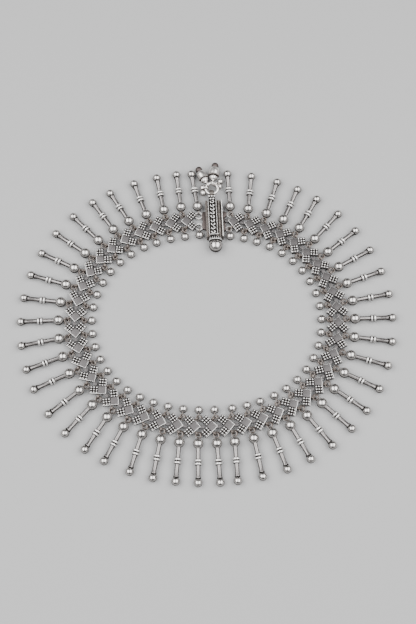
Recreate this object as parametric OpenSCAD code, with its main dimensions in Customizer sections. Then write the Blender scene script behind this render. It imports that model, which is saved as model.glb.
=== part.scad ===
// Silver anklet of chevron links with rod drops, inner beads and a key clasp hung with bells.
// It lies on its back as a closed loop. +Z is up, +Y points from the ankle to the clasp.

/* [Loop] */
// Number of chevron links in the chain
link_count = 44; // [40:1:48]
// Distance along the middle of the chain from one link to the next
link_pitch = 5.52; // [5.5:0.01:5.7]
// Distance along the loop across the clasp, from the last drop to the first
clasp_gap = 10.5; // [10.5:0.1:11]
// Direction of the loop where it leaves the clasp, in degrees
start_heading = 176.63; // [176:0.01:177]
// How far the loop is drawn out into an oval, in degrees of heading
oval_amount = 8.0; // [6:0.1:8.5]
// Where the oval's long sides lie, in degrees
oval_turn = 171; // [165:1:175]
// How far the oval's ends are squared, in degrees of heading
corner_amount = 1.85; // [0:0.05:2]
// Where the squared ends lie, in degrees
corner_turn = 158; // [150:1:165]

/* [Chevron link] */
// Width of each arm of a link
arm_w = 2.5; // [2.4:0.05:2.5]
// Length of each arm, from the point of the chevron
arm_len = 5.3; // [5.2:0.05:5.3]
// Height of the underside of the links above the surface
plate_base = 1.05; // [1.05:0.01:1.1]
// Height of the top face of the links
plate_top = 2.1; // [2.0:0.05:2.2]
// Depth of the recesses that hold the granules
recess_depth = 0.25; // [0.15:0.05:0.3]
// Radius of a granule
granule_r = 0.35; // [0.3:0.01:0.36]
// Radius of the round tab on the point of a link
tab_r = 0.55; // [0.4:0.05:0.6]

/* [Loops and wires] */
// Wire radius of the loops on the links
loop_wire = 0.18; // [0.15:0.01:0.18]
// Ring radius of the upright front loops on the outer arms, at the middle of the wire
front_loop_outer_r = 0.82; // [0.8:0.01:0.83]
// Ring radius of the upright front loops on the inner arms
front_loop_inner_r = 0.9; // [0.88:0.01:0.92]
// Ring radius of the flat rear loops
rear_loop_r = 0.95; // [0.94:0.01:0.96]

/* [Drops] */
// Radius of the large ball of a rod drop
drop_ball_r = 1.7; // [1.6:0.05:1.7]
// Radius of the end ball of a rod drop
drop_end_r = 1.36; // [1.2:0.02:1.4]
// Distance between the centres of the two balls
drop_len = 12.5; // [11:0.1:13]
// Radius of the rod
drop_rod_r = 0.7; // [0.5:0.02:0.74]
// Radius of an inner bead
bead_r = 1.4; // [1.3:0.05:1.4]

/* [Clasp] */
// Width of the clasp box
box_w = 5.7; // [5.6:0.1:5.8]
// Length of the clasp box
box_len = 13.5; // [13.2:0.1:13.6]
// Height of the side walls of the box
wall_h = 3.3; // [3.2:0.05:3.4]
// Radius of the ball on the clasp screw
knob_r = 2.3; // [2.2:0.05:2.3]
// Number of curls in the strip on the key
curl_count = 9; // [7:1:9]
// Ring radius of the bell ring
bell_ring_r = 2.05; // [2.03:0.01:2.07]

/* [Hidden] */
$fn = 48;
silver = [0.66, 0.64, 0.62];
bright_silver = [0.78, 0.77, 0.75];
dark_silver = [0.45, 0.43, 0.42];

// The loop starts at the first drop, to the left of the clasp
loop_start = [-2.79, 34.79];
loop_length = link_count * link_pitch + clasp_gap;
steps_per_link = 4;
step_len = link_pitch / steps_per_link;

// Chevron: its point lies a little ahead of the drop that hangs in front of it
tip_lead = 0.5;
tip_x = link_pitch / 2 + tip_lead;
rim = 0.14;
recess_w = arm_w - 2 * rim;
recess_len = arm_len - arm_w - 2 * rim;
granules_per_side = 3;

// Front loops stand upright on the front edges, rear loops lie flat at the ends of the arms
front_loop_z = 1.45;
rear_loop_z = 1.15;
front_inner_along = 2.8;
front_inner_out = 0.68;
front_outer_along = 2.4;
front_outer_out = 0.8;
rear_beyond = 0.9;
rear_inner_inset = 0.3;
rear_outer_inset = 0;

// Eyes of the drops and beads
eye_z = 1.7;
eye_wire = 0.17;
eye_neck_r = 0.22;
drop_eye_r = 0.8;
drop_reach = 2.68;
bead_eye_r = 0.62;
bead_reach = 2.45;
// Points of the front loops that the eyes hang on, in the frame of the link
drop_pivot = from_chevron(-front_outer_out - front_loop_outer_r, front_outer_along);
bead_pivot = from_chevron(front_inner_along, -front_inner_out - front_loop_inner_r);

// Drops and beads that lean forward from straight out, in degrees: station, drop, bead
usual_drop_lean = 1.5;
LEAN = [
    [0, 7, 2], [1, 0, 2], [2, -1, 0], [4, 6, -6], [14, -3, 0], [18, -2, 0], [24, -4, 16], [25, -1, 12],
    [27, 3, 4], [28, 4, 0], [29, 4, 0], [40, 4, 0], [42, 0, -2], [43, 6, -10], [44, 10, -16]
];

// Clasp place and lean
clasp_at = [2.6, 34.76];
clasp_lean = 2.6;
floor_plate_h = 0.8;
box_front = -6.6;
box_back = box_front + box_len;
key_x = -0.5;
key_w = 3.2;
key_gap = 0.1;
screw_x = 0;
screw_z = 2.3;
ear_wire = 0.2;
left_ear_x = -0.1;
left_ear_r = 1.05;
ear_spread = 2.1;
left_ear_z = 0.72;
right_ear_r = 0.95;
right_ear_z = rear_loop_z;
hook_r = 0.6;
hook_wire = 0.17;
hook_z = 0.8;
end_eye_r = 0.75;
end_eye_z = 0.92;

function loop_phase(s) = 360 * s / loop_length;
function heading(s) = start_heading + loop_phase(s)
    + oval_amount * sin(2 * loop_phase(s) + oval_turn)
    + corner_amount * sin(4 * loop_phase(s) + corner_turn);
function station_s(k) = clasp_gap / 2 + k * link_pitch;
function track_heading(i) = heading(clasp_gap / 2 + i * step_len);
function step_vector(i) = step_len * [cos(track_heading(i + 0.5)), sin(track_heading(i + 0.5))];
track = [for (i = 0, p = loop_start; i <= steps_per_link * link_count; p = p + step_vector(i), i = i + 1) p];
function lean_row(k) = [for (row = LEAN) if (row[0] == k) row];
function drop_lean(k) = len(lean_row(k)) > 0 ? lean_row(k)[0][1] : usual_drop_lean;
function bead_lean(k) = len(lean_row(k)) > 0 ? lean_row(k)[0][2] : 0;

function from_chevron(x, y) = [tip_x - (x + y) * sqrt(0.5), (x - y) * sqrt(0.5)];

// Place children at a track point: +X runs along the loop, +Y towards the ankle
module at_track(i) {
    translate([track[i][0], track[i][1], 0])
        rotate([0, 0, track_heading(i)])
            children();
}

module at_station(k) {
    at_track(steps_per_link * k) children();
}

module at_link(j) {
    at_track(steps_per_link * j - steps_per_link / 2) children();
}

// Hang children on a front loop of link k, so that they point straight out of the loop there
module hung_on_link(k, pivot) {
    at_link(k)
        translate([pivot[0], pivot[1], 0])
            rotate([0, 0, track_heading(steps_per_link * k) - track_heading(steps_per_link * k - steps_per_link / 2)])
                children();
}

module at_clasp() {
    translate([clasp_at[0], clasp_at[1], 0])
        rotate([0, 0, clasp_lean])
            children();
}

module flat_ring(r, wire) {
    rotate_extrude() translate([r, 0]) circle(r = wire, $fn = 24);
}

// An upright ring whose hole faces along X
module upright_ring(r, wire) {
    rotate([0, 90, 0]) flat_ring(r, wire);
}

// Chevron frame: the point at the origin, the inner arm along X, the outer arm along Y
module in_chevron() {
    translate([tip_x, 0, 0]) rotate([0, 0, 135]) children();
}

module granule_field(along, across) {
    pitch_x = (recess_len - 2 * granule_r) / (granules_per_side - 1);
    pitch_y = (recess_w - 2 * granule_r) / (granules_per_side - 1);
    for (i = [0:granules_per_side - 1], j = [0:granules_per_side - 1]) {
        translate([along + granule_r + i * pitch_x, across + granule_r + j * pitch_y, plate_top - 0.14])
            sphere(r = granule_r, $fn = 24);
    }
}

module chevron_plate() {
    difference() {
        translate([0, 0, plate_base])
            linear_extrude(height = plate_top - plate_base)
                polygon([[0, 0], [arm_len, 0], [arm_len, arm_w], [arm_w, arm_w], [arm_w, arm_len], [0, arm_len]]);
        translate([arm_w + rim, rim, plate_top - recess_depth])
            cube([recess_len, recess_w, 1]);
        translate([rim, arm_w + rim, plate_top - recess_depth])
            cube([recess_w, recess_len, 1]);
    }
}

module chevron_link(has_rear_loops) {
    in_chevron() {
        chevron_plate();
        granule_field(arm_w + rim, rim);
        mirror([1, -1, 0]) granule_field(arm_w + rim, rim);
        translate([front_inner_along, -front_inner_out, front_loop_z])
            upright_ring(front_loop_inner_r, loop_wire);
        translate([-front_outer_out, front_outer_along, front_loop_z])
            rotate([0, 0, 90]) upright_ring(front_loop_outer_r, loop_wire);
        if (has_rear_loops) {
            translate([arm_len + rear_beyond, arm_w - rear_inner_inset, rear_loop_z])
                flat_ring(rear_loop_r, loop_wire);
            translate([arm_w - rear_outer_inset, arm_len + rear_beyond, rear_loop_z])
                flat_ring(rear_loop_r, loop_wire);
        }
    }
    point_tab();
}

// Round tab that fills the notch of the next link
module point_tab() {
    tab_z = plate_base + 0.15;
    tab_h = 0.5;
    tab_out = 0.7;
    translate([tip_x + tab_out, 0, tab_z]) cylinder(r = tab_r, h = tab_h);
    translate([tip_x - 0.6, -0.4, tab_z]) cube([tab_out + 0.6, 0.8, tab_h]);
}

// The first link hooks under its arms into the ear of the clasp
module first_link_hooks() {
    for (side = [-1, 1]) {
        translate([left_ear_x + left_ear_r, side * ear_spread, hook_z])
            rotate([0, 0, 90]) upright_ring(hook_r, hook_wire);
    }
}

module link_chain(first, last) {
    for (j = [first:last]) {
        at_link(j) chevron_link(j > 1);
    }
}

// Rod drop along -Y: ball, rod, double ring, neck and end ball. It slopes down to rest on both balls
module rod_drop() {
    ring_y = 6.05;
    ring_r = 0.34;
    ring_step = 0.5;
    neck_y = 10.9;
    neck_len = 0.5;
    translate([0, 0, drop_ball_r]) rotate([asin((drop_ball_r - drop_end_r) / drop_len), 0, 0]) {
        sphere(r = drop_ball_r);
        rotate([90, 0, 0]) {
            cylinder(r = drop_rod_r, h = drop_len);
            for (dy = [-ring_step, ring_step]) {
                translate([0, 0, ring_y + dy]) flat_ring(0.94, ring_r);
            }
            translate([0, 0, neck_y]) cylinder(r = 0.95, h = neck_len);
        }
        translate([0, -drop_len, 0]) sphere(r = drop_end_r);
    }
}

// A drop turns about the middle of the loop wire that its eye hangs on
module hung_drop(k) {
    hung_on_link(k, drop_pivot) rotate([0, 0, drop_lean(k)]) {
        translate([0, 0, eye_z]) flat_ring(drop_eye_r, eye_wire);
        translate([0, 0.05 - drop_eye_r, eye_z]) rotate([90, 0, 0]) cylinder(r = eye_neck_r, h = 0.6);
        translate([0, -drop_reach, 0]) rod_drop();
    }
}

module first_drop() {
    at_station(0) translate([-0.1, -3.25, 0]) rotate([0, 0, drop_lean(0)]) {
        translate([0, 0, end_eye_z]) upright_ring(end_eye_r, eye_wire);
        translate([0, -2.1, 0]) rod_drop();
    }
}

module rod_drops() {
    color(bright_silver) {
        first_drop();
        for (k = [1:link_count]) {
            hung_drop(k);
        }
    }
}

// Inner bead along +Y, with a short neck to its eye
module inner_bead() {
    translate([0, bead_reach, bead_r]) sphere(r = bead_r);
    translate([0, bead_eye_r - 0.05, eye_z]) rotate([-90, 0, 0]) cylinder(r = eye_neck_r, h = 0.8);
}

module hung_bead(k) {
    hung_on_link(k, bead_pivot) rotate([0, 0, -bead_lean(k)]) {
        translate([0, 0, eye_z]) flat_ring(bead_eye_r, eye_wire);
        inner_bead();
    }
}

module first_bead() {
    at_station(0) translate([-0.1, 3.3, 0]) rotate([0, 0, -bead_lean(0)]) {
        translate([0, 0, end_eye_z]) upright_ring(end_eye_r, eye_wire);
        translate([0, 2.0, bead_r]) sphere(r = bead_r);
    }
}

module inner_beads() {
    color(bright_silver) {
        first_bead();
        for (k = [1:link_count]) {
            hung_bead(k);
        }
    }
}

module link_chain_left() {
    color(silver) {
        link_chain(1, link_count / 2);
        at_station(0) first_link_hooks();
    }
}

module link_chain_right() {
    color(silver) link_chain(link_count / 2 + 1, link_count);
}

// Block between two X values, over the length of the clasp box
module box_bar(x0, x1, z0, z1) {
    translate([x0, box_front, z0]) cube([x1 - x0, box_len, z1 - z0]);
}

lip_z = [2.1, 2.5];
lip_reach = 0.35;
key_left = key_x - key_w / 2;
key_right = key_x + key_w / 2;
split_gap = 0.12;

module clasp_left_half() {
    color(dark_silver) {
        at_clasp() {
            box_bar(-box_w / 2, key_x - split_gap / 2, 0, floor_plate_h);
            box_bar(-box_w / 2, key_left - key_gap, 0, wall_h);
            box_bar(key_left - key_gap - 0.05, key_left + lip_reach, lip_z[0], lip_z[1]);
            translate([0, 0, 0.4])
                linear_extrude(height = 1.0)
                    polygon([[-2.8, -3.2], [-3.9, -2.9], [-4.35, -1.8], [-4.0, 0.3], [-4.35, 2.4], [-3.9, 3.4],
                        [-2.8, 3.7]]);
        }
        at_station(0) {
            for (side = [-1, 1]) {
                translate([left_ear_x, side * ear_spread, left_ear_z]) flat_ring(left_ear_r, ear_wire);
            }
        }
    }
}

module clasp_right_half() {
    column_x = 1.72;
    column_r = 0.42;
    column_z = 2.95;
    slot = [2.2, 2.45];
    color(dark_silver) {
        at_clasp() {
            difference() {
                union() {
                    box_bar(key_x + split_gap / 2, box_w / 2, 0, floor_plate_h);
                    box_bar(key_right + key_gap, box_w / 2, 0, wall_h);
                    box_bar(key_right - lip_reach, key_right + key_gap + 0.05, lip_z[0], lip_z[1]);
                }
                box_bar(key_right, slot[0], column_z - 0.1, wall_h + 1);
                box_bar(slot[0], slot[1], 1.8, wall_h + 1);
            }
            translate([column_x, box_back, column_z]) rotate([90, 0, 0]) cylinder(r = column_r, h = box_len);
            translate([0, 0, 0.65])
                linear_extrude(height = 1.0)
                    polygon([[2.8, -3.9], [3.4, -3.9], [3.9, -3.1], [3.7, -1.9], [3.0, -1.2], [3.0, 0.9], [3.9, 1.4],
                        [4.4, 2.3], [4.0, 3.1], [2.8, 3.5]]);
        }
        at_station(link_count) {
            translate([0.07, -2.63, right_ear_z]) flat_ring(right_ear_r, loop_wire);
            translate([-0.15, 2.72, right_ear_z]) flat_ring(right_ear_r, loop_wire);
        }
    }
}

// One S-shaped curl of the strip, raised from the floor of its channel
module curl(z) {
    curl_r = 0.34;
    curl_wire = 0.2;
    for (turn = [0, 180]) {
        rotate([0, 0, turn])
            translate([curl_r, 0, z])
                rotate([0, 0, -30])
                    rotate_extrude(angle = 210) translate([curl_r, 0]) circle(r = curl_wire, $fn = 16);
    }
}

key_top = 3.6;
key_bed = 3.2;
key_end_y = 9.0;
key_eye_y = 9.85;
screw_bore_r = 0.6;
screw_shank_r = 0.5;

module clasp_key() {
    border = 0.4;
    curl_pitch = 1.38;
    color(silver) at_clasp() {
        difference() {
            union() {
                translate([key_left, box_front, floor_plate_h + key_gap])
                    cube([key_w, box_len, key_top - floor_plate_h - key_gap]);
                translate([key_left + 0.5, box_back - 0.1, 1.5])
                    cube([key_w - 1.0, key_end_y - box_back + 0.1, key_bed + 0.1 - 1.5]);
            }
            translate([key_left + border, -5.85, key_bed]) cube([key_w - 2 * border, 20, 1]);
            translate([key_left - 1, box_front - 1, lip_z[0] - key_gap])
                cube([1 + lip_reach + key_gap, box_len + 2, lip_z[1] - lip_z[0] + 2 * key_gap]);
            translate([key_right - lip_reach - key_gap, box_front - 1, lip_z[0] - key_gap])
                cube([2, box_len + 2, lip_z[1] - lip_z[0] + 2 * key_gap]);
            translate([screw_x, -3.8, screw_z]) rotate([90, 0, 0]) cylinder(r = screw_bore_r, h = 4);
        }
        for (i = [0:curl_count - 1]) {
            translate([key_x, -5.1 + i * curl_pitch, 0]) curl(key_bed);
        }
        key_end_granules();
        key_eye();
    }
}

// Wide upright eye at the end of the key, round the wire of the bell ring
module key_eye() {
    eye_w = 1.5;
    translate([key_x - eye_w / 2, key_eye_y, screw_z]) rotate([0, 90, 0]) difference() {
        cylinder(r = 1.18, h = eye_w);
        translate([0, 0, -1]) cylinder(r = 0.8, h = eye_w + 2);
    }
}

// Cluster of granules where the key leaves the box
module key_end_granules() {
    r = 0.42;
    for (y = [7.35, 8.75], x = [-0.75, 0, 0.75]) {
        translate([key_x + x, y, key_bed + 0.1]) sphere(r = r, $fn = 24);
    }
    for (x = [-0.4, 0.4]) {
        translate([key_x + x, 8.05, key_bed + 0.1]) sphere(r = r, $fn = 24);
    }
}

// Ball-headed screw: the shank enters the end of the key, and a crown of teeth faces the box
module clasp_screw() {
    teeth = 18;
    crown_r = 2.1;
    crown_y = -7.97;
    tooth_len = 1.1;
    color(bright_silver) at_clasp() difference() {
        translate([screw_x, 0, screw_z]) {
            translate([0, -9.55, 0]) sphere(r = knob_r);
            translate([0, -4.1, 0]) rotate([90, 0, 0]) cylinder(r = screw_shank_r, h = 4);
            translate([0, -6.95, 0]) rotate([90, 0, 0]) cylinder(r = crown_r - 0.4, h = 1.2);
            translate([0, crown_y, 0]) rotate([-90, 0, 0]) cylinder(r = crown_r + 0.2, h = 0.25);
            for (a = [0:360 / teeth:359]) {
                rotate([0, a, 0])
                    translate([crown_r - 0.1, crown_y + 0.2, 0])
                        rotate([-90, 0, 0])
                            cylinder(r1 = 0.34, r2 = 0.07, h = tooth_len - 0.1);
            }
        }
        translate([-5, -9, -5]) cube([10, 3, 5]);
    }
}

bell_ring_at = [-0.35, 11.8];
bell_ring_wire = 0.48;

module at_bell_ring() {
    at_clasp() translate([bell_ring_at[0], bell_ring_at[1], screw_z]) children();
}

module bell_ring() {
    color(bright_silver) at_bell_ring() flat_ring(bell_ring_r, bell_ring_wire);
}

bell_loop_r = 0.88;
bell_loop_wire = 0.18;

// Frame of a bell that hangs at an angle on the bell ring and leans aside there: +X leads away from
// the wire of the ring and down to the surface, where the part of radius rest_r at the reach rests.
module at_bell(angle, lean, reach, rest_r) {
    at_bell_ring()
        rotate([0, 0, angle])
            translate([bell_ring_r, 0, 0])
                rotate([0, 0, lean])
                    rotate([0, asin((screw_z - rest_r) / reach), 0])
                        children();
}

// Solid of revolution about +X, from station x0 to x1 of the bell
module turned(x0, x1, r0, r1) {
    translate([x0, 0, 0]) rotate([0, 90, 0]) cylinder(r1 = r0, r2 = r1, h = x1 - x0);
}

// Long bell: a loop round the ring, a neck, a cup with a collar, a groove and a dome with a rim, and
// a knob at the end. The reach leads to the middle of the dome.
module long_bell(angle, lean, reach, dome_r, collar_r) {
    neck_r = 0.5;
    cup_at = 1.2;
    collar_at = 1.95;
    collar_end = 2.55;
    rim_at = reach - 1.6;
    rim_h = 0.3;
    rim_r = dome_r + 0.05;
    knob_at = reach + 2.3;
    knob_r = 1.2;
    color(bright_silver) at_bell(angle, lean, reach, rim_r) {
        rotate([0, 0, 90]) upright_ring(bell_loop_r, bell_loop_wire);
        turned(bell_loop_r, cup_at + 0.1, neck_r, neck_r);
        turned(cup_at, collar_at, neck_r + 0.1, collar_r - 0.1);
        turned(collar_at, collar_end, collar_r, collar_r);
        turned(collar_end, rim_at, collar_r - 0.25, collar_r - 0.25);
        turned(rim_at, rim_at + rim_h, rim_r, rim_r);
        turned(rim_at + rim_h, reach, dome_r, dome_r);
        translate([reach, 0, 0]) sphere(r = dome_r);
        translate([knob_at, 0, 0]) sphere(r = knob_r);
    }
}

// Short bell: a loop round the ring, a neck and two lobes side by side with a seam between them.
// The line of the lobes is turned by lobe_turn from square to the bell.
module short_bell(angle, lean, reach, lobe_r, lobe_offset, lobe_turn) {
    neck_r = 0.42;
    slope = asin((screw_z - lobe_r) / reach);
    color(bright_silver) at_bell(angle, lean, reach, lobe_r) {
        rotate([0, 0, 90]) upright_ring(bell_loop_r, bell_loop_wire);
        turned(bell_loop_r, reach, neck_r, neck_r);
        translate([reach, 0, 0]) rotate([0, -slope, 0]) rotate([0, 0, lobe_turn]) {
            for (side = [-1, 1]) {
                translate([0, side * lobe_offset, 0]) sphere(r = lobe_r);
            }
            rotate([90, 0, 0]) translate([0, 0, -0.15]) cylinder(r = lobe_r - 0.3, h = 0.3);
        }
    }
}

module bell_top() {
    long_bell(80, 0, 4.65, 1.85, 1.45);
}

module bell_top_left() {
    long_bell(135, -21.6, 4.52, 1.68, 1.35);
}

module bell_left() {
    short_bell(180, 0, 1.57, 1.05, 0.95, 0);
}

module bell_right() {
    short_bell(45, -18, 2.1, 0.98, 0.93, -40);
}

link_chain_left();
link_chain_right();
rod_drops();
inner_beads();
clasp_left_half();
clasp_right_half();
clasp_key();
clasp_screw();
bell_ring();
bell_top();
bell_top_left();
bell_left();
bell_right();
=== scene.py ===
"""Looks of the silver anklet: chevron links, rod drops, inner beads, key clasp and bells.

Lengths are in millimetres until a piece becomes a mesh. In the frame of a link or of the
clasp, +X runs along the loop, which is across the clasp's box, and +Z is up.
"""
import math

import bmesh
import bpy
import numpy as np
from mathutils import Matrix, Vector


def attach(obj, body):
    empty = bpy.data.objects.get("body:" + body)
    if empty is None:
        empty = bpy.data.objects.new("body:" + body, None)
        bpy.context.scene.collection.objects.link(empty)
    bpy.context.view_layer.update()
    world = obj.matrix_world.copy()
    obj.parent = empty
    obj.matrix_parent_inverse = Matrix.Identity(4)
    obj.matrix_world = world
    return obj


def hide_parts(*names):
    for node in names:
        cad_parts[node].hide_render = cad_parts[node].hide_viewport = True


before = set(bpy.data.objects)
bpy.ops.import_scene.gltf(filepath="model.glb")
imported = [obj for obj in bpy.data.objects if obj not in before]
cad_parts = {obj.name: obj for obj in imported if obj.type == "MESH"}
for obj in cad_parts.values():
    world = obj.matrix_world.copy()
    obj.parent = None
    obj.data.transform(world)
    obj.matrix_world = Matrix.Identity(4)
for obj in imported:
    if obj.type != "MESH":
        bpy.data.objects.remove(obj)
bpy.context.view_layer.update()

MM = 0.001

# The loop, as in the CAD source
LINKS = 44
PITCH = 5.52
CLASP_GAP = 10.5
START_HEADING = 176.63
OVAL_AMOUNT = 8.0
OVAL_TURN = 171
CORNER_AMOUNT = 1.85
CORNER_TURN = 158
LOOP_START = (-2.79, 34.79)
LOOP_LENGTH = LINKS * PITCH + CLASP_GAP
STEPS_PER_LINK = 4
STEP_LEN = PITCH / STEPS_PER_LINK


def heading(s):
    """Direction of the loop in degrees, a distance s from the middle of the clasp."""
    phase = 360 * s / LOOP_LENGTH
    oval = OVAL_AMOUNT * math.sin(math.radians(2 * phase + OVAL_TURN))
    corners = CORNER_AMOUNT * math.sin(math.radians(4 * phase + CORNER_TURN))
    return START_HEADING + phase + oval + corners


def track_heading(i):
    return heading(CLASP_GAP / 2 + i * STEP_LEN)


def make_track():
    """Points of the loop, a quarter of a link apart."""
    points = [np.array(LOOP_START)]
    for i in range(STEPS_PER_LINK * LINKS):
        angle = math.radians(track_heading(i + 0.5))
        points.append(points[-1] + STEP_LEN * np.array([math.cos(angle), math.sin(angle)]))
    return points


TRACK = make_track()


# Placing
def shift(x, y, z=0.0):
    m = np.eye(4)
    m[:3, 3] = (x, y, z)
    return m


def turn(axis, degrees):
    c, s = math.cos(math.radians(degrees)), math.sin(math.radians(degrees))
    m = np.eye(4)
    a, b = {"x": (1, 2), "y": (2, 0), "z": (0, 1)}[axis]
    m[a, a], m[a, b], m[b, a], m[b, b] = c, -s, s, c
    return m


def stretch(x, y, z):
    return np.diag([x, y, z, 1.0])


def at_track(i):
    return shift(*TRACK[i]) @ turn("z", track_heading(i))


def at_station(k):
    """Between link k and the next one."""
    return at_track(STEPS_PER_LINK * k)


def at_link(j):
    """In the middle of link j, counted from 1."""
    return at_track(STEPS_PER_LINK * j - STEPS_PER_LINK // 2)


UPRIGHT_X = turn("y", 90)
UPRIGHT_Y = turn("x", 90)
ALONG_Y = turn("z", 90)
CLASP_AT = (2.6, 34.76)
CLASP_LEAN = 2.6
CLASP = shift(*CLASP_AT) @ turn("z", CLASP_LEAN)


# Shapes
TINY = 1e-6
SMOOTH_UP_TO = math.radians(40)


class Shape:
    """Points and faces that are gathered before they become one mesh."""

    def __init__(self):
        self.points = []
        self.faces = []
        self.slots = []
        self.count = 0

    def add(self, points, faces, slot=0, place=None):
        points = np.asarray(points, float)
        if place is not None:
            points = points @ place[:3, :3].T + place[:3, 3]
            if np.linalg.det(place[:3, :3]) < 0:
                faces = [tuple(reversed(face)) for face in faces]
        self.faces += [tuple(i + self.count for i in face) for face in faces]
        self.slots += [slot] * len(faces) if isinstance(slot, int) else list(slot)
        self.points.append(points)
        self.count += len(points)
        return self

    def put(self, other, place):
        """Add a whole shape, with its own slots."""
        return self.add(np.vstack(other.points), other.faces, other.slots, place)


def lathe(profile, sides):
    """A turned form along +X. The profile is rows of (distance along X, radius)."""
    points, rows = [], []
    angles = np.linspace(0, 2 * math.pi, sides, endpoint=False)
    for x, r in profile:
        if r < TINY:
            rows.append([len(points)])
            points.append((x, 0, 0))
        else:
            rows.append(list(range(len(points), len(points) + sides)))
            points += [(x, r * math.cos(a), r * math.sin(a)) for a in angles]
    faces = []
    for low, high in zip(rows, rows[1:]):
        for i in range(sides):
            j = (i + 1) % sides
            if len(low) == 1:
                faces.append((low[0], high[j], high[i]))
            elif len(high) == 1:
                faces.append((low[i], low[j], high[0]))
            else:
                faces.append((low[i], low[j], high[j], high[i]))
    return points, faces


def arc(cx, cr, r, start, end, count):
    """Profile rows on a circle about (cx, cr), angles from +X in degrees."""
    angles = np.radians(np.linspace(start, end, count))
    return [(cx + r * math.cos(a), cr + r * math.sin(a)) for a in angles]


def ball(r, sides, rows):
    """A ball whose poles lie on X, with so many sides round X and rows of points along it."""
    profile = arc(0, 0, r, 180, 0, rows)
    profile[0], profile[-1] = (-r, 0), (r, 0)
    return lathe(profile, sides)


def tube(path, r, sides, closed=False):
    """A wire along a path of points that lies flat."""
    path = np.asarray(path, float)
    count = len(path)
    if closed:
        ahead = np.roll(path, -1, 0) - np.roll(path, 1, 0)
    else:
        ahead = np.gradient(path, axis=0)
    ahead /= np.linalg.norm(ahead, axis=1)[:, None]
    side = np.cross(ahead, (0, 0, 1.0))
    side /= np.linalg.norm(side, axis=1)[:, None]
    up = np.cross(side, ahead)
    angles = np.linspace(0, 2 * math.pi, sides, endpoint=False)
    points = np.vstack([p + r * (np.cos(angles)[:, None] * u + np.sin(angles)[:, None] * v)
                        for p, u, v in zip(path, side, up)])
    faces = []
    for k in range(count if closed else count - 1):
        a, b = k * sides, ((k + 1) % count) * sides
        faces += [(a + i, a + (i + 1) % sides, b + (i + 1) % sides, b + i) for i in range(sides)]
    if not closed:
        faces.append(tuple(reversed(range(sides))))
        faces.append(tuple(range((count - 1) * sides, count * sides)))
    return points, faces


def ring(r, wire, around, across):
    """A flat closed ring about Z, with so many points round the ring and across the wire."""
    angles = np.linspace(0, 2 * math.pi, around, endpoint=False)
    path = np.stack([r * np.cos(angles), r * np.sin(angles), 0 * angles], 1)
    return tube(path, wire, across, closed=True)


def from_bmesh(bm):
    """Points, faces and the material slot of each face."""
    bm.verts.index_update()
    points = [tuple(v.co) for v in bm.verts]
    faces = [tuple(v.index for v in f.verts) for f in bm.faces]
    slots = [f.material_index for f in bm.faces]
    bm.free()
    return points, faces, slots


def round_edges(bm, edges, r):
    bmesh.ops.bevel(bm, geom=edges, offset=r, segments=2, affect="EDGES", profile=0.5)


def block(x0, x1, y0, y1, z0, z1, edge=0.06):
    """A block with rounded edges."""
    bm = bmesh.new()
    bmesh.ops.create_cube(bm, size=1)
    for v in bm.verts:
        v.co = Vector((x0 if v.co.x < 0 else x1, y0 if v.co.y < 0 else y1, z0 if v.co.z < 0 else z1))
    round_edges(bm, list(bm.edges), edge)
    return from_bmesh(bm)[:2]


def plate(outline, z0, z1, edge):
    """A flat plate with a rounded top edge, cut to an outline."""
    bm = bmesh.new()
    low = [bm.verts.new((x, y, z0)) for x, y in outline]
    high = [bm.verts.new((x, y, z1)) for x, y in outline]
    count = len(outline)
    bm.faces.new(high)
    bm.faces.new(list(reversed(low)))
    for i in range(count):
        j = (i + 1) % count
        bm.faces.new((low[i], low[j], high[j], high[i]))
    bm.normal_update()
    rim = [e for e in bm.edges if min(v.co.z for v in e.verts) > z1 - TINY]
    round_edges(bm, rim, edge)
    return from_bmesh(bm)[:2]


def make_piece(name, shape, materials, slot, *nodes):
    """One mesh on the body, which takes the place of the nodes of the CAD source."""
    mesh = bpy.data.meshes.new(name)
    mesh.from_pydata((np.vstack(shape.points) * MM).tolist(), [], shape.faces)
    for material in materials:
        mesh.materials.append(material)
    mesh.polygons.foreach_set("material_index", shape.slots)
    mesh.polygons.foreach_set("use_smooth", [True] * len(mesh.polygons))
    mesh.set_sharp_from_angle(angle=SMOOTH_UP_TO)
    mesh.update()
    piece = bpy.data.objects.new(name, mesh)
    bpy.context.scene.collection.objects.link(piece)
    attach(piece, "root")
    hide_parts(*nodes)


# Materials
# dark of the oxide in hollows, also the colour of the painted shade on sides and undersides
OXIDE_AND_SHADE = (0.02, 0.016, 0.015)
WARM_OXIDE_AND_SHADE = (0.045, 0.026, 0.017)
SILVER = (0.62, 0.595, 0.575)
GREY_SILVER = (0.14, 0.132, 0.132)
DULL_SILVER = (0.17, 0.152, 0.14)
WHITE_SILVER = (0.92, 0.9, 0.88)
OXIDE_ROUGHNESS = 0.62
BUMP_DEPTH = 0.03
# sockets of the colour mix
MIX_FACTOR = 0
MIX_FIRST = 6
MIX_SECOND = 7
MIX_RESULT = 2


def link_nodes(tree, *pairs):
    for a, b in pairs:
        tree.links.new(a, b)


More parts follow.
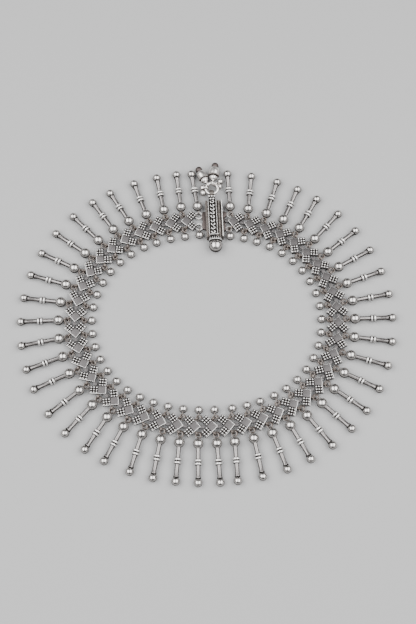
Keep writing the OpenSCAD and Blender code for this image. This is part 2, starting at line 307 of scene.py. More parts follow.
def silver(name, bright, dark, rough, oxide=(0.25, 0.75), mottle=0.35, scale=900, bump=0.25, reach=0.9,
           side=0.0):
    """Worn silver. Oxide sits in crevices, broken up by a mottle, and the same dark is painted as shade on
    undersides and sides.

    The range of openness over which it wears off is oxide, and reach is how far off, in mm,
    a neighbour still shades a crevice. Side says how far up from what faces the ground the painted shade
    climbs.
    """
    material = bpy.data.materials.new(name)
    material.use_nodes = True
    tree = material.node_tree
    nodes = tree.nodes
    shader = nodes["Principled BSDF"]
    place = nodes.new("ShaderNodeTexCoord")

    cavity = nodes.new("ShaderNodeAmbientOcclusion")
    cavity.inputs["Distance"].default_value = reach * MM
    cavity.samples = 6
    noise = nodes.new("ShaderNodeTexNoise")
    noise.inputs["Scale"].default_value = scale
    noise.inputs["Detail"].default_value = 5
    noise.inputs["Roughness"].default_value = 0.6
    fine = nodes.new("ShaderNodeTexNoise")
    fine.inputs["Scale"].default_value = scale * 5
    fine.inputs["Detail"].default_value = 3

    spread = nodes.new("ShaderNodeMath")
    spread.operation = "MULTIPLY_ADD"
    spread.inputs[1].default_value = mottle
    spread.inputs[2].default_value = -mottle / 2
    total = nodes.new("ShaderNodeMath")
    total.operation = "ADD"
    worn = nodes.new("ShaderNodeMapRange")
    worn.inputs["From Min"].default_value = oxide[0]
    worn.inputs["From Max"].default_value = oxide[1]

    # painted shade: what faces the ground is painted dark, and side says how far up it climbs
    normal = nodes.new("ShaderNodeNewGeometry")
    split = nodes.new("ShaderNodeSeparateXYZ")
    painted_shade_climb = nodes.new("ShaderNodeMapRange")
    painted_shade_climb.inputs["From Min"].default_value = side - 0.3
    painted_shade_climb.inputs["From Max"].default_value = side + 0.15
    # silver shows where there is neither oxide nor painted shade
    bare_and_unshaded = nodes.new("ShaderNodeMath")
    bare_and_unshaded.operation = "MULTIPLY"

    colour = nodes.new("ShaderNodeMix")
    colour.data_type = "RGBA"
    colour.inputs[MIX_FIRST].default_value = (*dark, 1)
    colour.inputs[MIX_SECOND].default_value = (*bright, 1)
    polish = nodes.new("ShaderNodeMapRange")
    polish.inputs["To Min"].default_value = OXIDE_ROUGHNESS
    polish.inputs["To Max"].default_value = rough
    grain = nodes.new("ShaderNodeMath")
    grain.operation = "MULTIPLY_ADD"
    grain.inputs[1].default_value = 0.22
    lift = nodes.new("ShaderNodeBump")
    lift.inputs["Strength"].default_value = bump
    lift.inputs["Distance"].default_value = BUMP_DEPTH * MM

    link_nodes(
        tree,
        (place.outputs["Object"], noise.inputs["Vector"]),
        (place.outputs["Object"], fine.inputs["Vector"]),
        (noise.outputs["Fac"], spread.inputs[0]),
        (cavity.outputs["AO"], total.inputs[0]),
        (spread.outputs[0], total.inputs[1]),
        (total.outputs[0], worn.inputs["Value"]),
        (normal.outputs["Normal"], split.inputs[0]),
        (split.outputs["Z"], painted_shade_climb.inputs["Value"]),
        (worn.outputs["Result"], bare_and_unshaded.inputs[0]),
        (painted_shade_climb.outputs["Result"], bare_and_unshaded.inputs[1]),
        (bare_and_unshaded.outputs[0], colour.inputs[MIX_FACTOR]),
        (bare_and_unshaded.outputs[0], polish.inputs["Value"]),
        (fine.outputs["Fac"], grain.inputs[0]),
        (polish.outputs["Result"], grain.inputs[2]),
        (fine.outputs["Fac"], lift.inputs["Height"]),
        (colour.outputs[MIX_RESULT], shader.inputs["Base Color"]),
        (grain.outputs[0], shader.inputs["Roughness"]),
        (lift.outputs["Normal"], shader.inputs["Normal"]),
        (bare_and_unshaded.outputs[0], shader.inputs["Metallic"]),
    )
    shader.inputs["Specular IOR Level"].default_value = 0.15
    return material


# side sets how far up each part the painted shade climbs from what faces the ground
plate_silver = silver("plate_silver", GREY_SILVER, OXIDE_AND_SHADE, 0.42, oxide=(0.35, 0.85), mottle=0.4, bump=0.5)
# near black for oxidised grounds and hollows, also used as painted shade on bells and rod necks
oxide_and_shade_black = silver("oxide_and_shade_black", (0.02, 0.018, 0.017), OXIDE_AND_SHADE, 0.6, oxide=(0.5, 1.0))
proud_silver = silver("proud_silver", WHITE_SILVER, OXIDE_AND_SHADE, 0.32, oxide=(0.1, 0.45), mottle=0.15, bump=0.1,
                      reach=0.35, side=0.25)
grain_silver = silver("grain_silver", WHITE_SILVER, OXIDE_AND_SHADE, 0.3, oxide=(0.1, 0.45), mottle=0.15, bump=0.1,
                      reach=0.3, side=0.6)
bead_silver = silver("bead_silver", (0.95, 0.93, 0.91), OXIDE_AND_SHADE, 0.34, oxide=(-0.2, 0.2), mottle=0.1, bump=0.1,
                     reach=0.3, side=0.6)
ball_silver = silver("ball_silver", SILVER, OXIDE_AND_SHADE, 0.17, oxide=(0.15, 0.6), mottle=0.3, scale=500, bump=0.12,
                     reach=0.9, side=0.5)
rod_silver = silver("rod_silver", (0.3, 0.283, 0.277), OXIDE_AND_SHADE, 0.2, oxide=(0.25, 0.75), mottle=0.7, scale=450,
                    bump=0.25, reach=0.7, side=0.78)
loop_silver = silver("loop_silver", (0.2, 0.175, 0.16), WARM_OXIDE_AND_SHADE, 0.3, oxide=(0.3, 0.8), mottle=0.6,
                     scale=600, bump=0.3, reach=1.0, side=0.35)
clasp_silver = silver("clasp_silver", DULL_SILVER, WARM_OXIDE_AND_SHADE, 0.4, oxide=(0.1, 0.7), mottle=0.8, scale=600,
                      bump=0.5, reach=0.7)
ear_silver = silver("ear_silver", (0.12, 0.1, 0.095), WARM_OXIDE_AND_SHADE, 0.45, oxide=(-0.3, 0.5), mottle=0.8,
                    scale=700, bump=0.6, reach=0.5)
ring_silver = silver("ring_silver", (0.95, 0.92, 0.89), WARM_OXIDE_AND_SHADE, 0.26, oxide=(0.2, 0.5), mottle=0.5,
                     scale=350, bump=0.15, reach=0.8, side=0.4)
bell_silver = silver("bell_silver", (0.9, 0.87, 0.84), WARM_OXIDE_AND_SHADE, 0.24, oxide=(0.1, 0.5), mottle=0.45,
                     scale=450, bump=0.12, reach=0.8, side=0.42)


# Chevron links
ARM_W = 2.5
ARM_LEN = 5.3
PLATE_BASE = 1.05
PLATE_TOP = 2.1
TIP_X = PITCH / 2 + 0.5
WIRE = 0.18
FRONT_Z = 1.45
REAR_Z = 1.15
FRONT_OUTER = {"along": 2.4, "out": 0.8, "r": 0.82}
FRONT_INNER = {"along": 2.8, "out": 0.68, "r": 0.9}
REAR_BEYOND = 0.9
REAR_INSET = 0.3
REAR_R = 0.95
REAR_LOOPS = ((ARM_LEN + REAR_BEYOND, ARM_W - REAR_INSET), (ARM_W, ARM_LEN + REAR_BEYOND))
PLATE_EDGE = 0.11
EAR_SPREAD = 2.1
HOOK_R = 0.6
HOOK_WIRE = 0.17
HOOK_AT = (0.95, 0.8)


def from_chevron(x, y):
    """A point of the L-shaped plate, whose corner lies at the tip, in the frame of the link."""
    return TIP_X - (x + y) * math.sqrt(0.5), (x - y) * math.sqrt(0.5)


IN_CHEVRON = shift(TIP_X, 0) @ turn("z", 135)
SWAP_XY = np.array([[0, 1, 0, 0], [1, 0, 0, 0], [0, 0, 1, 0], [0, 0, 0, 1]], float)
FLAT = 0.99
PLATE, GROUND, BRIGHT, LOOP, GRAIN = range(5)
LINK_MATERIALS = [plate_silver, oxide_and_shade_black, proud_silver, loop_silver, grain_silver]


def is_arm_top(face):
    """Whether a face of the plate lies flat on the top of an arm, outside the plain square."""
    middle = face.calc_center_median()
    return face.normal.z > FLAT and middle.z > PLATE_TOP - 0.001 and max(middle.x, middle.y) > ARM_W


def chevron_plate():
    """L-shaped plate: a plain square at the point and a sunk field in each arm."""
    rim, wall, depth = 0.1, 0.04, 0.25
    w, n = ARM_W, ARM_LEN
    bm = bmesh.new()
    corner = {xy: bm.verts.new((*xy, PLATE_TOP)) for xy in
              ((0, 0), (w, 0), (n, 0), (n, w), (w, w), (w, n), (0, n), (0, w))}
    square = ((0, 0), (w, 0), (w, w), (0, w))
    inner_arm = ((w, 0), (n, 0), (n, w), (w, w))
    outer_arm = ((0, w), (w, w), (w, n), (0, n))
    for part in (square, inner_arm, outer_arm):
        bm.faces.new([corner[xy] for xy in part])
    # walls and underside
    outline = [e for e in bm.edges if len(e.link_faces) == 1]
    walls = bmesh.ops.extrude_edge_only(bm, edges=outline)["geom"]
    low = [g for g in walls if isinstance(g, bmesh.types.BMVert)]
    for v in low:
        v.co.z = PLATE_BASE
    under = [e for e in walls if isinstance(e, bmesh.types.BMEdge) and all(v in low for v in e.verts)]
    bmesh.ops.contextual_create(bm, geom=under)
    bmesh.ops.recalc_face_normals(bm, faces=list(bm.faces))
    round_edges(bm, outline, PLATE_EDGE)
    for field in [f for f in bm.faces if is_arm_top(f)]:
        bmesh.ops.inset_individual(bm, faces=[field], thickness=rim)
        bmesh.ops.inset_individual(bm, faces=[field], thickness=wall, depth=-depth)
        field.material_index = GROUND
    for f in bm.faces:
        middle = f.calc_center_median()
        is_wall = abs(f.normal.z) < 0.1 and PLATE_BASE < middle.z < PLATE_TOP - 0.3
        is_outer = min(middle.x, middle.y) < 0.1
        is_edge = 0.1 < f.normal.z < FLAT and middle.z > PLATE_TOP - PLATE_EDGE - 0.02
        if is_wall or is_arm_top(f):
            f.material_index = GROUND
        elif is_edge and is_outer:
            f.material_index = BRIGHT
    return from_bmesh(bm)


def granules():
    """Three rows of three granules in an arm, with the dark ground between them."""
    shape = Shape()
    r = 0.3
    along, across = 0.9, 0.82
    for i in range(3):
        for j in range(3):
            place = shift(ARM_W + 0.5 + i * along, 0.44 + j * across, PLATE_TOP - 0.14)
            shape.add(*ball(r, 12, 7), slot=GRAIN, place=place @ stretch(1.05, 1.0, 0.95) @ UPRIGHT_X)
    return shape


def front_loop(size):
    """Upright loop of two turns of wire beside the edge of the plate."""
    shape = Shape()
    wire = WIRE - 0.03
    for side in (-0.14, 0.14):
        place = shift(size["along"] + side, -size["out"], FRONT_Z) @ UPRIGHT_X
        shape.add(*ring(size["r"], wire, 22, 8), slot=LOOP, place=place)
    return shape


def chevron_link(rear_loops=True):
    shape = Shape()
    shape.add(*chevron_plate(), place=IN_CHEVRON)
    field = granules()
    shape.put(field, IN_CHEVRON)
    shape.put(field, IN_CHEVRON @ SWAP_XY)
    shape.put(front_loop(FRONT_INNER), IN_CHEVRON)
    shape.put(front_loop(FRONT_OUTER), IN_CHEVRON @ SWAP_XY)
    if rear_loops:
        for x, y in REAR_LOOPS:
            shape.add(*ring(REAR_R, WIRE, 26, 8), slot=LOOP, place=IN_CHEVRON @ shift(x, y, REAR_Z))
    shape.add(*point_tab(), slot=PLATE)
    return shape


def point_tab():
    """Flat tab on the point, with a round end."""
    outline = [(TIP_X - 0.6, -0.5), (TIP_X + 0.6, -0.55)]
    outline += [(TIP_X + 0.65 + 0.6 * math.cos(a), 0.58 * math.sin(a)) for a in np.linspace(-1.2, 1.2, 9)]
    outline += [(TIP_X + 0.6, 0.55), (TIP_X - 0.6, 0.5)]
    return plate(outline, PLATE_BASE + 0.15, PLATE_BASE + 0.7, edge=0.1)


def link_row(first, last):
    """Links first to last. Link 1 has hooks in the clasp's ear in place of its rear loops."""
    row = Shape()
    usual, end = chevron_link(), chevron_link(rear_loops=False)
    for j in range(first, last + 1):
        row.put(end if j == 1 else usual, at_link(j))
    return row


def first_hooks():
    """The two hooks that join link 1 to the ear of the clasp."""
    shape = Shape()
    for side in (-1, 1):
        place = at_station(0) @ shift(HOOK_AT[0], side * EAR_SPREAD, HOOK_AT[1]) @ UPRIGHT_Y
        shape.add(*ring(HOOK_R, HOOK_WIRE, 20, 8), slot=BRIGHT, place=place)
    return shape


left_row = link_row(1, LINKS // 2).put(first_hooks(), np.eye(4))
right_row = link_row(LINKS // 2 + 1, LINKS)
make_piece("links_left", left_row, LINK_MATERIALS, "silver_links", "link_chain_left")
make_piece("links_right", right_row, LINK_MATERIALS, "silver_links", "link_chain_right")


# Rod drops and inner beads
USUAL_LEAN = 1.5
# those that lie askew, by station: (lean of the drop, lean of the bead), forward in degrees
LEAN = {
    0: (7, 2), 1: (0, 2), 2: (-1, 0), 4: (6, -6), 14: (-3, 0), 18: (-2, 0), 24: (-4, 16), 25: (-1, 12),
    27: (3, 4), 28: (4, 0), 29: (4, 0), 40: (4, 0), 42: (0, -2), 43: (6, -10), 44: (10, -16),
}
DROP_PIVOT = from_chevron(-FRONT_OUTER["out"] - FRONT_OUTER["r"], FRONT_OUTER["along"])
BEAD_PIVOT = from_chevron(FRONT_INNER["along"], -FRONT_INNER["out"] - FRONT_INNER["r"])
BALL_R = 1.7
END_R = 1.36
DROP_LEN = 12.5
ROD_R = 0.7
BANDS_X = 6.05
NECK_X = 11.1
BEAD_R = 1.4
EYE_WIRE = 0.17
EYE_Z = 1.7
DROP_EYE_R = 0.8
DROP_REACH = 2.68
BEAD_EYE_R = 0.62
BEAD_NECK_Y = 0.6
BEAD_NECK_R = 0.22
BEAD_REACH = 2.45
# the first drop and bead hang on the ear of the clasp
FIRST_X = -0.1
FIRST_DROP_Y = -3.25
FIRST_DROP_REACH = 2.1
FIRST_BEAD_Y = 3.3
FIRST_BEAD_REACH = 2.0
FIRST_EYE_R = 0.75
FIRST_EYE_Z = 0.92
BALL, ROD, BAND, GROOVE, EYE = range(5)
DROP_MATERIALS = [ball_silver, rod_silver, proud_silver, oxide_and_shade_black, loop_silver]


def rod_drop():
    """Ball, rod, double ring, neck and end ball along +X, from the middle of the ball."""
    shape = Shape()
    start = math.degrees(math.asin(ROD_R / BALL_R))
    shape.add(*lathe([(-BALL_R, 0)] + arc(0, 0, BALL_R, 172, start + 1, 16), 30), slot=BALL)
    stem = [(BALL_R * 0.9, ROD_R * 0.97), (2.2, ROD_R), (5.15, ROD_R), (5.2, 0.9)]
    stem += [(6.9, 0.9), (6.95, ROD_R), (10.5, ROD_R), (10.75, 0.82), (NECK_X, 0.88), (11.3, 0.82)]
    shape.add(*lathe(stem, 22), slot=ROD)
    for side in (-0.52, 0.52):
        shape.add(*band_ring(BANDS_X + side), slot=BAND)
    shape.add(*lathe([(5.1, 0.92), (7.0, 0.92)], 22), slot=GROOVE)
    shape.add(*lathe(arc(DROP_LEN, 0, END_R, 142, 8, 14) + [(DROP_LEN + END_R, 0)], 26), slot=BALL)
    # a near-black sleeve on the neck before the end ball is painted shadow
    shape.add(*lathe([(11.05, 0.9), (11.45, 0.9)], 22), slot=GROOVE)
    return shape


def band_ring(x):
    """One ring of the pair half way along the rod, with round edges and a flat middle."""
    r, edge, half_flat = 1.06, 0.22, 0.1
    band = arc(x - half_flat, r, edge, 180, 90, 4) + arc(x + half_flat, r, edge, 90, 0, 4)
    band = [(band[0][0], 0.85)] + band + [(band[-1][0], 0.85)]
    return lathe(band, 24)


def first_pivot(y, lean):
    """Where an eye hangs on the ear of the clasp."""
    return at_station(0) @ shift(FIRST_X, y) @ turn("z", lean)


def link_pivot(k, at, lean):
    """Where an eye hangs on a front loop of link k, square to the loop but for its lean."""
    aim = track_heading(STEPS_PER_LINK * k) - track_heading(STEPS_PER_LINK * k - STEPS_PER_LINK / 2)
    return at_link(k) @ shift(*at) @ turn("z", aim + lean)


def add_first_eye(shape, pivot):
    place = pivot @ shift(0, 0, FIRST_EYE_Z) @ UPRIGHT_X
    shape.add(*ring(FIRST_EYE_R, EYE_WIRE, 24, 8), slot=EYE, place=place)


def drops():
    shape = Shape()
    one = rod_drop()
    slope = math.degrees(math.asin((BALL_R - END_R) / DROP_LEN))
    for k in range(LINKS + 1):
        lean = LEAN.get(k, (USUAL_LEAN, 0))[0]
        if k == 0:
            pivot = first_pivot(FIRST_DROP_Y, lean)
            add_first_eye(shape, pivot)
            reach = FIRST_DROP_REACH
        else:
            pivot = link_pivot(k, DROP_PIVOT, lean)
            shape.add(*ring(DROP_EYE_R, EYE_WIRE, 24, 8), slot=EYE, place=pivot @ shift(0, 0, EYE_Z))
            reach = DROP_REACH
        shape.put(one, pivot @ shift(0, -reach, BALL_R) @ turn("z", -90) @ turn("y", slope))
    return shape


def inner_beads():
    shape = Shape()
    for k in range(LINKS + 1):
        lean = LEAN.get(k, (USUAL_LEAN, 0))[1]
        if k == 0:
            pivot = first_pivot(FIRST_BEAD_Y, -lean)
            add_first_eye(shape, pivot)
            reach = FIRST_BEAD_REACH
        else:
            pivot = link_pivot(k, BEAD_PIVOT, -lean)
            neck = pivot @ shift(0, BEAD_NECK_Y, EYE_Z) @ ALONG_Y
            shape.add(*ring(BEAD_EYE_R, EYE_WIRE, 22, 8), slot=EYE, place=pivot @ shift(0, 0, EYE_Z))
            shape.add(*lathe([(0, BEAD_NECK_R), (0.6, BEAD_NECK_R)], 10), slot=EYE, place=neck)
            reach = BEAD_REACH
        shape.add(*ball(BEAD_R, 28, 18), slot=BALL, place=pivot @ shift(0, reach, BEAD_R))
    return shape


make_piece("rod_drops_row", drops(), DROP_MATERIALS, "silver_drops", "rod_drops")
make_piece("inner_beads_row", inner_beads(), DROP_MATERIALS, "silver_drops", "inner_beads")


# Clasp
BOX_W = 5.7
BOX_FRONT = -6.6
BOX_BACK = 6.9
WALL_H = 3.3
FLOOR_H = 0.8
HALF_GAP = 0.06
GAP = 0.1
COLUMN_X = 1.72
COLUMN_Z = 2.95
COLUMN_R = 0.42
KEY_X = -0.5
KEY_W = 3.2
KEY_LEFT = KEY_X - KEY_W / 2
KEY_RIGHT = KEY_X + KEY_W / 2
KEY_TOP = 3.6
KEY_BED = 3.2
LIP_Z = (2.1, 2.5)
LIP_REACH = 0.35
SCREW_Z = 2.3
KNOB_R = 2.3
KNOB_Y = -9.55
CROWN_Y = -7.85
CROWN_GROOVE_Y = -8.14
TEETH = 18
CURLS = 9
CURL_START = -4.75
CURL_PITCH = 1.4
CURL_WIRE = 0.145
KEY_END = 9.0
KEY_EYE_Y = 9.85
KEY_EYE_W = 1.5
KEY_EYE_HOLE = 0.8
KEY_EYE_R = 1.18
LEFT_EAR = [(-2.5, 3.7), (-3.9, 3.4), (-4.35, 2.4), (-4.0, 0.3), (-4.35, -1.8), (-3.9, -2.9), (-2.5, -3.2)]
RIGHT_EAR = [(2.5, -3.9), (3.4, -3.9), (3.9, -3.1), (3.7, -1.9), (3.0, -1.2), (3.0, 0.9), (3.9, 1.4),
             (4.4, 2.3), (4.0, 3.1), (2.5, 3.5)]
WALL, DARK, SHINE, EAR, KNOB, BEAD = range(6)
CLASP_MATERIALS = [clasp_silver, oxide_and_shade_black, proud_silver, ear_silver, ball_silver, bead_silver]


def bar(shape, x0, x1, z0, z1, slot=WALL, edge=0.06):
    """Bar along the whole box."""
    shape.add(*block(x0, x1, BOX_FRONT, BOX_BACK, z0, z1, edge), slot=slot)


def rail(shape, x, z, r, slot=WALL):
    """Wire along the box."""
    path = [(x, y, z) for y in np.linspace(BOX_FRONT + 0.1, BOX_BACK - 0.1, 12)]
    shape.add(*tube(path, r, 8), slot=slot)


def milgrain(shape, x, z, r):
    """Row of fine grains along the box."""
    start, end = BOX_FRONT + 0.9, BOX_BACK - 0.2
    count = round((end - start) / (1.75 * r))
    for y in np.linspace(start, end, count):
        shape.add(*ball(r, 8, 5), slot=BEAD, place=shift(x, y, z) @ UPRIGHT_X)


def flat_band(inner, outer, z0, z1, start=0, end=360):
    """Flat C-shaped band about Z, cut from a sheet, from the start to the end angle."""
    angles = np.radians(np.linspace(start, end, 34))
    edge = 0.06
    section = [(inner, z0), (inner, z1 - edge), (inner + edge, z1)]
    section += [(outer - edge, z1), (outer, z1 - edge), (outer, z0)]
    count = len(section)
    points = [(r * math.cos(a), r * math.sin(a), z) for a in angles for r, z in section]
    faces = []
    for k in range(len(angles) - 1):
        a, b = k * count, (k + 1) * count
        for i in range(count):
            j = (i + 1) % count
            faces.append((a + i, a + j, b + j, b + i))
    faces.append(tuple(range(count)))
    faces.append(tuple(reversed(range((len(angles) - 1) * count, len(angles) * count))))
    return points, faces


def left_half():
    """Floor, wall with wires along it, lip over the key, and the ear with its two bands."""
    left, inner = -BOX_W / 2, KEY_LEFT - GAP
    box = Shape()
    bar(box, left, KEY_X - HALF_GAP, 0, FLOOR_H)
    bar(box, left, inner, 0.1, WALL_H - 0.12, edge=0.1)
    bar(box, inner - 0.1, KEY_LEFT + LIP_REACH, *LIP_Z)
    rail(box, left + 0.13, WALL_H - 0.13, 0.12)
    rail(box, inner - 0.1, WALL_H - 0.13, 0.1)
    for z in (0.95, 2.0):
        rail(box, left + 0.02, z, 0.1)
    box.add(*plate(LEFT_EAR, 0.4, 1.4, edge=0.12), slot=EAR)
    shape = Shape().put(box, CLASP)
    for side in (-1, 1):
        hole = at_station(0) @ shift(FIRST_X, side * EAR_SPREAD)
        shape.add(*flat_band(0.84, 1.4, 0.52, 0.95, 20, 340), slot=SHINE, place=hole)
    return shape


def uneven_column():
    """Half-round column along the box, uneven as if filed by hand."""
    profile = []
    for y in np.linspace(BOX_FRONT, BOX_BACK, 60):
        profile.append((y, COLUMN_R - 0.035 * (1 + math.sin(y * 2.3 + 0.8)) - 0.015 * math.sin(y * 5.9)))
    return lathe([(BOX_FRONT, 0)] + profile + [(BOX_BACK, 0)], 16)


def right_half():
    """Floor, two walls with a dark channel and a column between, lip, and the ear with its bands."""
    right, inner = BOX_W / 2, KEY_RIGHT + GAP
    box = Shape()
    bar(box, KEY_X + HALF_GAP, right, 0, FLOOR_H)
    bar(box, 2.42, right, 0.1, WALL_H - 0.1, edge=0.1)
    bar(box, inner, 2.2, 0.1, 2.85, edge=0.1)
    bar(box, 2.1, 2.5, 0.1, 1.8, DARK)
    bar(box, KEY_RIGHT - LIP_REACH, inner + 0.1, *LIP_Z)
    rail(box, right - 0.14, WALL_H - 0.12, 0.12, BEAD)
    box.add(*uneven_column(), slot=WALL, place=shift(COLUMN_X, 0, COLUMN_Z) @ ALONG_Y)
    box.add(*plate(RIGHT_EAR, 0.65, 1.65, edge=0.12), slot=EAR)
    box.add(*block(2.8, 3.7, -1.9, 1.5, 0.3, 0.95), slot=EAR)
    shape = Shape().put(box, CLASP)
    for x, y in ((0.07, -2.63), (-0.15, 2.72)):
        shape.add(*flat_band(0.8, 1.12, 1.0, 1.3), slot=SHINE, place=at_station(LINKS) @ shift(x, y))
    return shape


def curl(end):
    """One scroll of wire: a wide bowl whose end winds back into it."""
    angles = np.linspace(165, end, 20)
    radii = np.interp(angles, [165, 270, 380, 450], [0.55, 0.48, 0.48, 0.16])
    turns = np.radians(angles)
    path = np.stack([1.1 * radii * np.cos(turns), radii * np.sin(turns), 0 * turns], 1)
    return tube(path, CURL_WIRE, 8)


def key_strip():
    """The sliding part of the key: grooves for the lips, a sunk bed, and a border with milgrain."""
    strip = Shape()
    low = FLOOR_H + GAP
    groove = LIP_REACH + GAP
    border = 0.4
    left, right, front, back = KEY_LEFT, KEY_RIGHT, BOX_FRONT, BOX_BACK
    waist_z = (LIP_Z[0] - 0.2, LIP_Z[1] + 0.2)
    strip.add(*block(left, right, front, back, low, LIP_Z[0] - GAP), slot=WALL)
    strip.add(*block(left + groove, right - groove, front, back, *waist_z), slot=DARK)
    strip.add(*block(left, right, front, back, LIP_Z[1] + GAP, KEY_BED), slot=DARK)
    for x0, x1 in ((left, left + border), (right - border, right)):
        strip.add(*block(x0, x1, front, back, KEY_BED - 0.4, KEY_TOP - 0.12, edge=0.08), slot=WALL)
    milgrain(strip, left + 0.2, KEY_TOP - 0.14, 0.13)
    milgrain(strip, right - 0.28, KEY_TOP - 0.13, 0.12)
    rail(strip, right - 0.1, KEY_TOP - 0.13, 0.09)
    # bar across the front end, with a row of grains
    strip.add(*block(left, right, front + 0.05, front + 0.6, low, KEY_TOP - 0.3, edge=0.1), slot=DARK)
    for x in np.linspace(left + 0.22, right + 0.1, 9):
        place = shift(x, front + 0.85, KEY_TOP - 0.16) @ UPRIGHT_X
        strip.add(*ball(0.2, 10, 6), slot=SHINE, place=place)
    return strip


def key_tongue():
    """The part of the key behind the box, with its cluster of granules and the upright eye."""
    tongue = Shape()
    left, right, front = KEY_LEFT + 0.5, KEY_RIGHT - 0.5, BOX_BACK - 0.1
    tongue.add(*block(left, right, front, KEY_END, 1.5, 3.3, edge=0.15), slot=DARK)
    for y, row in ((7.45, (-0.5, 0.5)), (8.45, (-0.95, -0.05, 0.85))):
        for x in row:
            place = shift(KEY_X + x, y, 3.28) @ UPRIGHT_X
            tongue.add(*ball(0.38, 14, 8), slot=BEAD, place=place)
    half, edge = KEY_EYE_W / 2, 0.08
    eye = [(-half, KEY_EYE_HOLE), (-half, KEY_EYE_R - edge), (-half + edge, KEY_EYE_R)]
    eye += [(half - edge, KEY_EYE_R), (half, KEY_EYE_R - edge), (half, KEY_EYE_HOLE), (-half, KEY_EYE_HOLE)]
    tongue.add(*lathe(eye, 32), slot=WALL, place=shift(KEY_X, KEY_EYE_Y, SCREW_Z))
    return tongue


def key():
    shape = Shape().put(key_strip(), CLASP).put(key_tongue(), CLASP)
    for i in range(CURLS):
        # no two curls are alike: each leans and winds a little differently
        lean = 14 * math.sin(2.6 * i)
        end = 430 + 15 * math.sin(1.7 * i)
        place = CLASP @ shift(KEY_X, CURL_START + i * CURL_PITCH, KEY_BED + 0.1) @ turn("z", lean)
        shape.add(*curl(end), slot=SHINE, place=place)
    return shape


def toothed_collar():
    """Crown of pointed teeth about Y, from the base at y = 0 to the tips."""
    shape = Shape()
    tooth = [(0.05, 0), (0.05, 0.29), (0.3, 0.26), (0.95, 0.11), (1.08, 0.06), (1.1, 0)]
    for k in range(TEETH):
        place = turn("y", 360 * (k + 0.5) / TEETH) @ shift(0, 0, 2.0) @ ALONG_Y
        shape.add(*lathe(tooth, 12), slot=SHINE, place=place)
    band = [(-0.12, 1.7), (-0.12, 2.2), (-0.04, 2.28), (0.06, 2.28), (0.12, 2.2), (0.12, 1.7)]
    shape.add(*lathe(band, 48), slot=SHINE, place=ALONG_Y)
    return shape


def screw():
    """Collar and shank, crown of teeth, dark groove and ball, along the middle of the box."""
    shape = Shape()
    middle = CLASP @ shift(0, 0, SCREW_Z)
    stem = [(-8.2, 0), (-8.2, 1.6), (-7.3, 1.6), (-7.0, 0.5), (-4.1, 0.5), (-4.1, 0)]
    shape.add(*lathe(stem, 30), slot=DARK, place=middle @ ALONG_Y)
    shape.put(toothed_collar(), middle @ shift(0, CROWN_Y, 0))
    shape.add(*ring(1.93, 0.17, 48, 8), slot=DARK, place=middle @ shift(0, CROWN_GROOVE_Y, 0) @ UPRIGHT_Y)
    shape.add(*ball(KNOB_R, 48, 28), slot=KNOB, place=middle @ shift(0, KNOB_Y, 0) @ ALONG_Y)
    return shape


make_piece("clasp_left", left_half(), CLASP_MATERIALS, "silver_clasp", "clasp_left_half")
make_piece("clasp_right", right_half(), CLASP_MATERIALS, "silver_clasp", "clasp_right_half")
make_piece("key", key(), CLASP_MATERIALS, "silver_clasp", "clasp_key")
make_piece("screw", screw(), CLASP_MATERIALS, "silver_drops", "clasp_screw")


# Bell ring and bells
RING_R = 2.05
RING_WIRE = 0.48
BELL_RING_AT = (-0.35, 11.8)
BELL_RING = CLASP @ shift(*BELL_RING_AT, SCREW_Z)
BELL_LOOP_R = 0.88
BELL_LOOP_WIRE = 0.18
COLLAR_GRAINS = 11
END_KNOB_R = 1.2
METAL, PAINTED_SHADE_GAP, BEADED, PAINTED_SHADE_KNOB = range(4)


def bell_slope(reach, rest_r):
    """How far the bell dips from the ring to where its part of radius rest_r lies on the floor."""
    return math.degrees(math.asin((SCREW_Z - rest_r) / reach))


def at_bell(angle, lean, reach, rest_r):
    """+X leads from the wire of the bell ring down to the part of radius rest_r."""
    rest = turn("y", bell_slope(reach, rest_r))
    return BELL_RING @ turn("z", angle) @ shift(RING_R, 0) @ turn("z", lean) @ rest


def add_bell_loop(shape, place):
    shape.add(*ring(BELL_LOOP_R, BELL_LOOP_WIRE, 24, 8), slot=METAL, place=place @ UPRIGHT_Y)


def long_bell(angle, lean, reach, dome_r, collar_r):
    """Loop, neck, cup with a collar of granules, groove painted dark as shade, dome with a rim, and end knob
    painted dark as shade.
    """
    shape = Shape()
    rim_r = dome_r + 0.05
    rim_x = reach - 1.6
    place = at_bell(angle, lean, reach, rim_r)
    add_bell_loop(shape, place)
    cup = [(BELL_LOOP_R, 0), (BELL_LOOP_R, 0.5), (1.2, 0.55), (1.5, 0.95)]
    cup += [(1.8, collar_r - 0.25), (2.1, collar_r - 0.15), (2.5, collar_r - 0.2)]
    shape.add(*lathe(cup, 30), slot=METAL, place=place)
    # the groove under the rim is painted near black as shade
    groove = [(2.4, collar_r - 0.25), (rim_x + 0.1, collar_r - 0.25)]
    shape.add(*lathe(groove, 30), slot=PAINTED_SHADE_GAP, place=place)
    for k in range(COLLAR_GRAINS):
        around = place @ turn("x", 360 * k / COLLAR_GRAINS) @ shift(2.25, 0, collar_r - 0.33)
        shape.add(*ball(0.34, 12, 7), slot=BEADED, place=around)
    cap = [(rim_x, collar_r - 0.3), (rim_x, rim_r - 0.08), (rim_x + 0.06, rim_r), (rim_x + 0.22, rim_r)]
    cap += [(rim_x + 0.32, dome_r - 0.04), (rim_x + 0.6, dome_r - 0.01), (reach - 0.2, dome_r)]
    cap += arc(reach, 0, dome_r, 88, 4, 16) + [(reach + dome_r, 0)]
    shape.add(*lathe(cap, 36), slot=METAL, place=place)
    # the end knob is given the dark ear silver as painted shade
    shape.add(*ball(END_KNOB_R, 24, 14), slot=PAINTED_SHADE_KNOB, place=place @ shift(reach + 2.3, 0))
    return shape


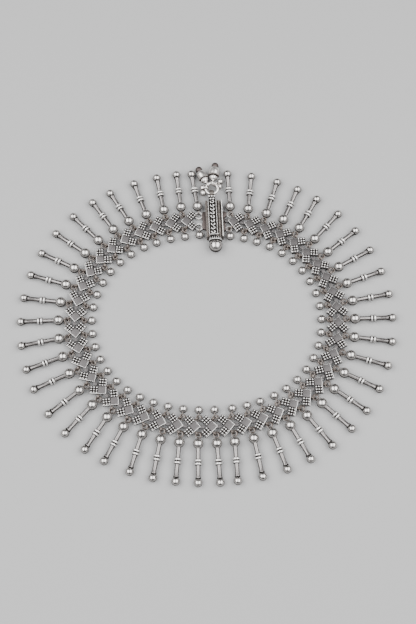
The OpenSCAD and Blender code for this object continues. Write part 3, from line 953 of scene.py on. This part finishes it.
def short_bell(angle, lean, reach, lobe_r, lobe_offset, lobe_turn):
    """Loop round the ring, neck, and two lobes side by side with a seam between them painted dark as shade.
    """
    shape = Shape()
    place = at_bell(angle, lean, reach, lobe_r)
    add_bell_loop(shape, place)
    neck = [(BELL_LOOP_R, 0), (BELL_LOOP_R, 0.42), (reach, 0.42)]
    shape.add(*lathe(neck, 18), slot=METAL, place=place)
    level = turn("y", -bell_slope(reach, lobe_r))
    middle = place @ shift(reach, 0) @ level @ turn("z", lobe_turn + 90)
    for side in (-1, 1):
        shape.add(*ball(lobe_r, 28, 16), slot=METAL, place=middle @ shift(side * lobe_offset, 0))
    # the disc between the lobes is painted near black as shade
    seam = [(-0.15, 0), (-0.15, lobe_r - 0.3), (0.15, lobe_r - 0.3), (0.15, 0)]
    shape.add(*lathe(seam, 28), slot=PAINTED_SHADE_GAP, place=middle)
    return shape


BELL_MATERIALS = [bell_silver, oxide_and_shade_black, grain_silver, ear_silver]
ring_shape = Shape().add(*ring(RING_R, RING_WIRE, 64, 18), place=BELL_RING)
top_bell = long_bell(80, 0, 4.65, 1.85, 1.45)
top_left_bell = long_bell(135, -21.6, 4.52, 1.68, 1.35)
left_bell = short_bell(180, 0, 1.57, 1.05, 0.95, 0)
right_bell = short_bell(45, -18, 2.1, 0.98, 0.93, -40)
make_piece("ring_of_bells", ring_shape, [ring_silver], "silver_drops", "bell_ring")
make_piece("top_bell", top_bell, BELL_MATERIALS, "silver_drops", "bell_top")
make_piece("top_left_bell", top_left_bell, BELL_MATERIALS, "silver_drops", "bell_top_left")
make_piece("left_bell", left_bell, BELL_MATERIALS, "silver_drops", "bell_left")
make_piece("right_bell", right_bell, BELL_MATERIALS, "silver_drops", "bell_right")


# Floor, light and camera
FLOOR_HALF = 1.5
FLOOR_GREY = (0.42, 0.42, 0.42, 1)
SKY_GREY = (0.75, 0.76, 0.78, 1)
SKY_STRENGTH = 0.08
LAMP_SIZE = (0.7, 0.46)
LAMP_POWER = 5.4
LAMP_X = 0.31
LAMP_Y = -0.02
LAMP_Z = 0.44
# the camera looks at the point of the surface in the middle of the picture
LOOK_AT = Vector((0.42 * MM, 2.18 * MM, 0))
ELEVATION = math.radians(70.688)
DISTANCE = 362.57 * MM
PICTURE_H_PX = 624
FOCAL_PX = 1087.7
SENSOR = 36


def area_light(name, side):
    """A wide soft light on one side, aimed at the anklet."""
    light = bpy.data.lights.new(name, "AREA")
    light.shape = "RECTANGLE"
    light.size, light.size_y = LAMP_SIZE
    light.energy = LAMP_POWER
    place = Vector((side * LAMP_X, LAMP_Y, LAMP_Z))
    target = Vector((side * 0.01, 0, 0))
    holder = bpy.data.objects.new(name, light)
    holder.location = place
    holder.rotation_euler = (target - place).to_track_quat("-Z", "Y").to_euler()
    bpy.context.scene.collection.objects.link(holder)


def make_floor():
    bm = bmesh.new()
    bmesh.ops.create_grid(bm, x_segments=2, y_segments=2, size=FLOOR_HALF)
    mesh = bpy.data.meshes.new("floor")
    bm.to_mesh(mesh)
    bm.free()
    floor = bpy.data.objects.new("floor", mesh)
    bpy.context.scene.collection.objects.link(floor)
    pale = bpy.data.materials.new("pale_floor")
    pale.use_nodes = True
    shader = pale.node_tree.nodes["Principled BSDF"]
    shader.inputs["Base Color"].default_value = FLOOR_GREY
    shader.inputs["Roughness"].default_value = 0.9
    mesh.materials.append(pale)


def make_sky():
    """Faint even light from all round."""
    world = bpy.data.worlds.new("studio")
    world.use_nodes = True
    background = world.node_tree.nodes["Background"]
    background.inputs["Color"].default_value = SKY_GREY
    background.inputs["Strength"].default_value = SKY_STRENGTH
    bpy.context.scene.world = world


def make_camera():
    data = bpy.data.cameras.new("camera")
    data.sensor_width = SENSOR
    data.lens = FOCAL_PX / PICTURE_H_PX * SENSOR
    data.clip_start = 0.01
    camera = bpy.data.objects.new("camera", data)
    camera.location = LOOK_AT + DISTANCE * Vector((0, -math.cos(ELEVATION), math.sin(ELEVATION)))
    camera.rotation_euler = (math.pi / 2 - ELEVATION, 0, 0)
    bpy.context.scene.collection.objects.link(camera)
    bpy.context.scene.camera = camera


make_floor()
area_light("left", -1)
area_light("right", 1)
make_sky()
make_camera()
